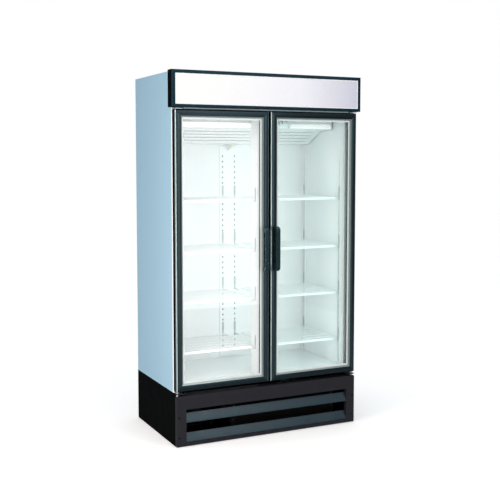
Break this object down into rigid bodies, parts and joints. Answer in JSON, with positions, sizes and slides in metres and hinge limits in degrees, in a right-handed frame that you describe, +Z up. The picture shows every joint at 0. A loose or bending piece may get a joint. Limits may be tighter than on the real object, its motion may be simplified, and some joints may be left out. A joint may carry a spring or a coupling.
{
  "type": "glass door merchandiser",
  "caption": "Upright glass door display cooler with side-by-side hinged doors, a lit sign box on top, wire shelves inside and a louvred base around its condensing unit.",
  "frame": {"origin": "floor level, in the middle of the whole outline seen from above", "axes": "+Z up, +Y from the doors to the rear, +X to the right of someone who faces the doors"},
  "size_m": [1.15, 0.673, 2],
  "materials": {
    "black_steel": "satin black powder coat",
    "black_plastic": "satin moulded black with a faint sheen",
    "motor_black": "semi-gloss black enamel",
    "coil_aluminium": "mill finish",
    "zinc_plate": "bright zinc plated",
    "side_paint": "satin light blue-grey paint",
    "white_paint": "semi-gloss white paint",
    "sign_acrylic": "blank translucent white acrylic, lit from behind",
    "lamp_white": "lit white diffuser",
    "white_wire": "white plastic coating on steel wire",
    "door_frame": "satin charcoal anodised",
    "door_glass": "clear with a faint green tint",
    "gasket_rubber": "matt",
    "control_plastic": "satin white"
  },
  "bodies": {
    "cabinet": {"base_pan": "black_steel", "base_left_panel": "black_steel", "base_right_panel": "black_steel", "base_rear_grille": "black_steel", "front_grille_frame": "black_plastic", "front_grille_upper_louvre": "black_plastic", "front_grille_lower_louvre": "black_plastic", "compressor": "motor_black", "condenser_coil": "coil_aluminium", "condenser_fan_motor": "motor_black", "control_box": "zinc_plate", "left_side_panel": "side_paint", "right_side_panel": "side_paint", "back_panel": "side_paint", "top_panel": "side_paint", "front_beam": "side_paint", "floor_panel": "white_paint", "left_liner": "white_paint", "right_liner": "white_paint", "back_liner": "white_paint", "centre_mullion": "white_paint", "header_frame": "black_plastic", "header_back_pan": "white_paint", "sign_panel": "sign_acrylic", "sign_lamp": "lamp_white", "evaporator_cover": "white_paint", "evaporator_coil": "coil_aluminium", "evaporator_fan_motor": "motor_black", "interior_light": "lamp_white", "left_front_pilaster": "white_paint", "left_rear_pilaster": "white_paint", "right_front_pilaster": "white_paint", "right_rear_pilaster": "white_paint", "centre_rear_channel": "white_paint", "left_shelf_1": "white_wire", "left_shelf_2": "white_wire", "left_shelf_3": "white_wire", "left_shelf_4": "white_wire", "right_shelf_1": "white_wire", "right_shelf_2": "white_wire", "right_shelf_3": "white_wire", "right_shelf_4": "white_wire", "left_bottom_hinge": "zinc_plate", "left_top_hinge": "zinc_plate", "right_bottom_hinge": "zinc_plate", "right_top_hinge": "zinc_plate"},
    "left_door": {"left_door_frame": "door_frame", "left_door_outer_glass": "door_glass", "left_door_inner_glass": "door_glass", "left_door_gasket": "gasket_rubber", "left_door_handle": "black_plastic"},
    "right_door": {"right_door_frame": "door_frame", "right_door_outer_glass": "door_glass", "right_door_inner_glass": "door_glass", "right_door_gasket": "gasket_rubber", "right_door_handle": "black_plastic"},
    "condenser_fan": {"condenser_fan": "coil_aluminium"},
    "evaporator_fan": {"evaporator_fan": "coil_aluminium"},
    "light_switch": {"light_switch": "control_plastic"},
    "thermostat_knob": {"thermostat_knob": "control_plastic"}
  },
  "joints": [
    {"name": "left_door_hinge", "type": "hinge", "parent": "cabinet", "child": "left_door", "pos_m": [-0.543, -0.2795, 0.3], "axis": [0, 0, -1], "range_deg": [0, 110], "stiffness_Nm_per_rad": 1.5, "springref_deg": -20.05},
    {"name": "right_door_hinge", "type": "hinge", "parent": "cabinet", "child": "right_door", "pos_m": [0.543, -0.2795, 0.3], "axis": [0, 0, 1], "range_deg": [0, 110], "stiffness_Nm_per_rad": 1.5, "springref_deg": -20.05},
    {"name": "condenser_fan_spin", "type": "hinge", "parent": "cabinet", "child": "condenser_fan", "pos_m": [0.13, -0.1355, 0.145], "axis": [0, 1, 0], "continuous": true},
    {"name": "evaporator_fan_spin", "type": "hinge", "parent": "cabinet", "child": "evaporator_fan", "pos_m": [0, -0.0385, 1.835], "axis": [0, 1, 0], "continuous": true},
    {"name": "light_switch_rock", "type": "hinge", "parent": "cabinet", "child": "light_switch", "pos_m": [0.19, -0.1325, 1.744], "axis": [1, 0, 0], "range_deg": [0, 16]},
    {"name": "thermostat_turn", "type": "hinge", "parent": "cabinet", "child": "thermostat_knob", "pos_m": [0.1615, -0.1355, 1.744], "axis": [0, 1, 0], "range_deg": [0, 270]}
  ]
}
